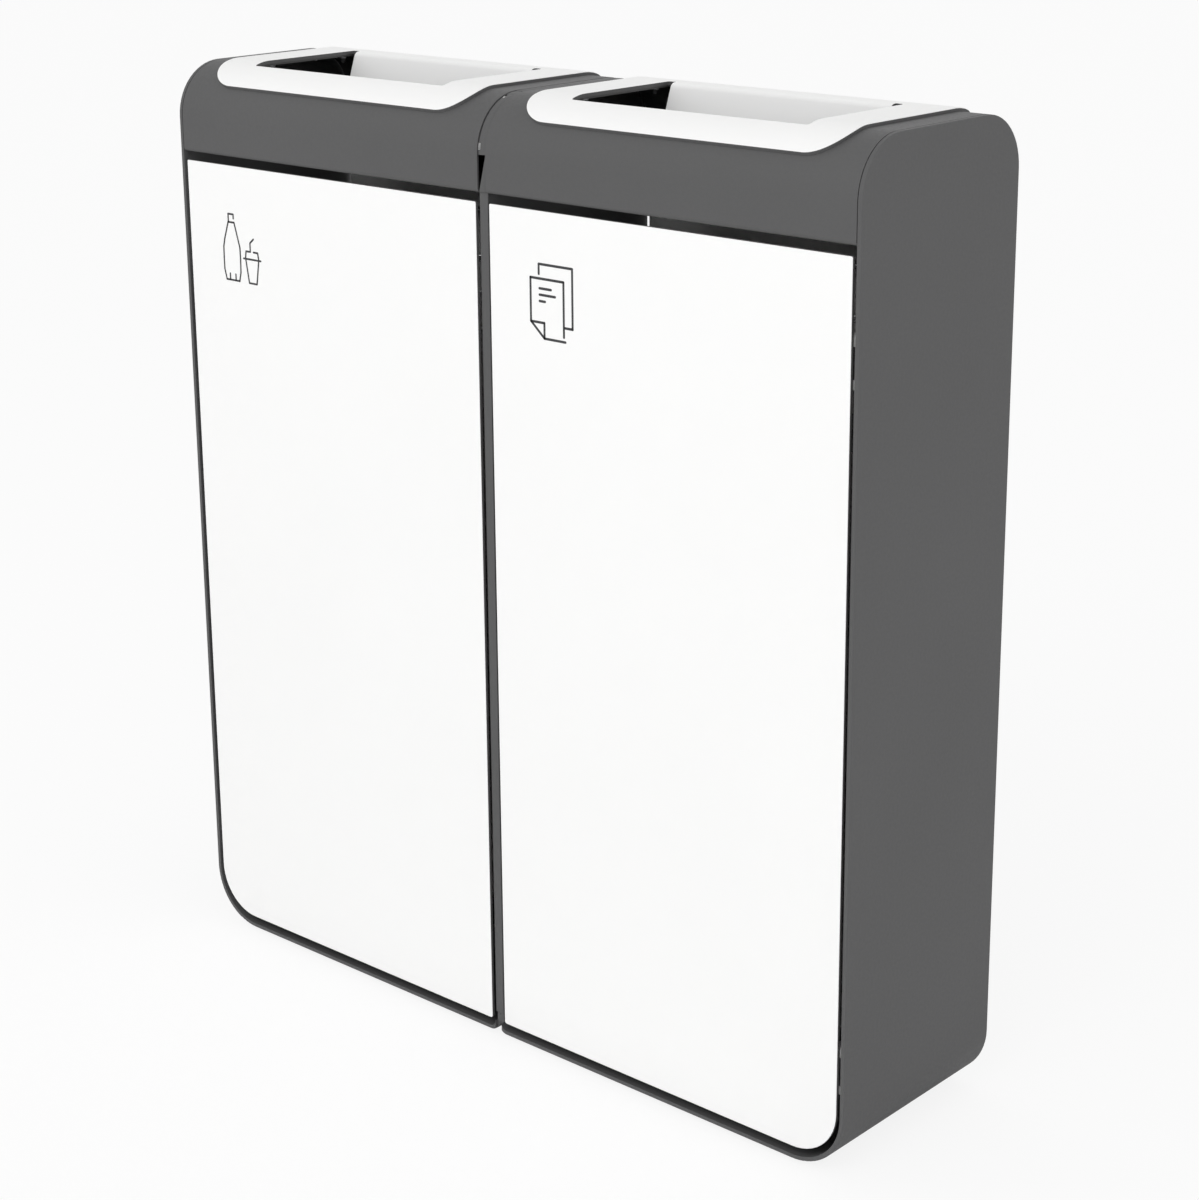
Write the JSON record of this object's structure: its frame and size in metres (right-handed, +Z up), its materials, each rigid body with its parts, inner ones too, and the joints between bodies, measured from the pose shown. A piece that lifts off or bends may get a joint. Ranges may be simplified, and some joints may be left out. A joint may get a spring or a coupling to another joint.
{
  "type": "double recycling bin",
  "caption": "Tall slim double recycling station: two joined cabinets, each with an open slot in its raised top, a chute flap, a hinged front door and a lifting bag frame.",
  "frame": {"origin": "on the floor, at the middle of the pair's width and depth", "axes": "+Z up, -Y towards the doors, +X to the right-hand unit as seen from the front"},
  "size_m": [0.8, 0.215, 0.8813],
  "materials": {
    "grey_casing": "fine-textured dark grey powder coat",
    "grey_hood": "fine-textured dark grey powder coat",
    "grey_back": "fine-textured dark grey powder coat",
    "grey_brackets": "dark grey powder coat",
    "white_insert": "satin white powder coat",
    "white_door": "satin white powder coat",
    "white_stiffener": "satin white powder coat",
    "zinc_hinges": "zinc plated",
    "zinc_fasteners": "zinc plated",
    "steel_pins": "bright turned steel",
    "strike_steel": "zinc plated",
    "magnet_plates": "nickel plated",
    "wire_steel": "bright plated round bar",
    "catch_plastic": "moulded white plastic",
    "buffer_rubber": "soft black rubber",
    "glide_plastic": "moulded black plastic"
  },
  "bodies": {
    "cabinet": {"joining_bolts": "zinc_fasteners", "joining_nuts": "zinc_fasteners", "right_base": "grey_casing", "right_outer_wall": "grey_casing", "right_seam_wall": "grey_casing", "right_hood": "grey_hood", "right_insert": "white_insert", "right_insert_nuts": "zinc_fasteners", "right_seam_hood_rail": "grey_brackets", "right_outer_hood_rail": "grey_brackets", "right_hood_screws": "zinc_fasteners", "right_back_panel": "grey_back", "right_back_tabs": "grey_brackets", "right_back_screws": "zinc_fasteners", "right_upper_hinge_bracket": "zinc_hinges", "right_lower_hinge_bracket": "zinc_hinges", "right_hinge_pins": "steel_pins", "right_upper_catch": "catch_plastic", "right_lower_catch": "catch_plastic", "right_catch_magnets": "magnet_plates", "right_buffer_tabs": "grey_brackets", "right_door_buffers": "buffer_rubber", "right_bag_frame_hangers": "grey_brackets", "right_bag_frame_rests": "grey_brackets", "right_glides": "glide_plastic", "left_base": "grey_casing", "left_outer_wall": "grey_casing", "left_seam_wall": "grey_casing", "left_hood": "grey_hood", "left_insert": "white_insert", "left_insert_nuts": "zinc_fasteners", "left_seam_hood_rail": "grey_brackets", "left_outer_hood_rail": "grey_brackets", "left_hood_screws": "zinc_fasteners", "left_back_panel": "grey_back", "left_back_tabs": "grey_brackets", "left_back_screws": "zinc_fasteners", "left_upper_hinge_bracket": "zinc_hinges", "left_lower_hinge_bracket": "zinc_hinges", "left_hinge_pins": "steel_pins", "left_upper_catch": "catch_plastic", "left_lower_catch": "catch_plastic", "left_catch_magnets": "magnet_plates", "left_buffer_tabs": "grey_brackets", "left_door_buffers": "buffer_rubber", "left_bag_frame_hangers": "grey_brackets", "left_bag_frame_rests": "grey_brackets", "left_glides": "glide_plastic"},
    "right_swing_door": {"right_door": "white_door", "right_door_stiffener": "white_stiffener", "right_upper_hinge_leaf": "zinc_hinges", "right_lower_hinge_leaf": "zinc_hinges", "right_strike_plates": "strike_steel"},
    "right_bag_carrier": {"right_bag_frame": "wire_steel"},
    "left_swing_door": {"left_door": "white_door", "left_door_stiffener": "white_stiffener", "left_upper_hinge_leaf": "zinc_hinges", "left_lower_hinge_leaf": "zinc_hinges", "left_strike_plates": "strike_steel"},
    "left_bag_carrier": {"left_bag_frame": "wire_steel"}
  },
  "joints": [
    {"name": "right_door_hinge", "type": "hinge", "parent": "cabinet", "child": "right_swing_door", "pos_m": [0.018, -0.0995, 0.405], "axis": [0, 0, -1], "range_deg": [0, 90]},
    {"name": "right_bag_frame_lift", "type": "hinge", "parent": "cabinet", "child": "right_bag_carrier", "pos_m": [0.2, 0.0952, 0.733], "axis": [-1, 0, 0], "range_deg": [0, 30]},
    {"name": "left_door_hinge", "type": "hinge", "parent": "cabinet", "child": "left_swing_door", "pos_m": [-0.018, -0.0995, 0.405], "axis": [0, 0, 1], "range_deg": [0, 90]},
    {"name": "left_bag_frame_lift", "type": "hinge", "parent": "cabinet", "child": "left_bag_carrier", "pos_m": [-0.2, 0.0952, 0.733], "axis": [-1, 0, 0], "range_deg": [0, 30]}
  ]
}
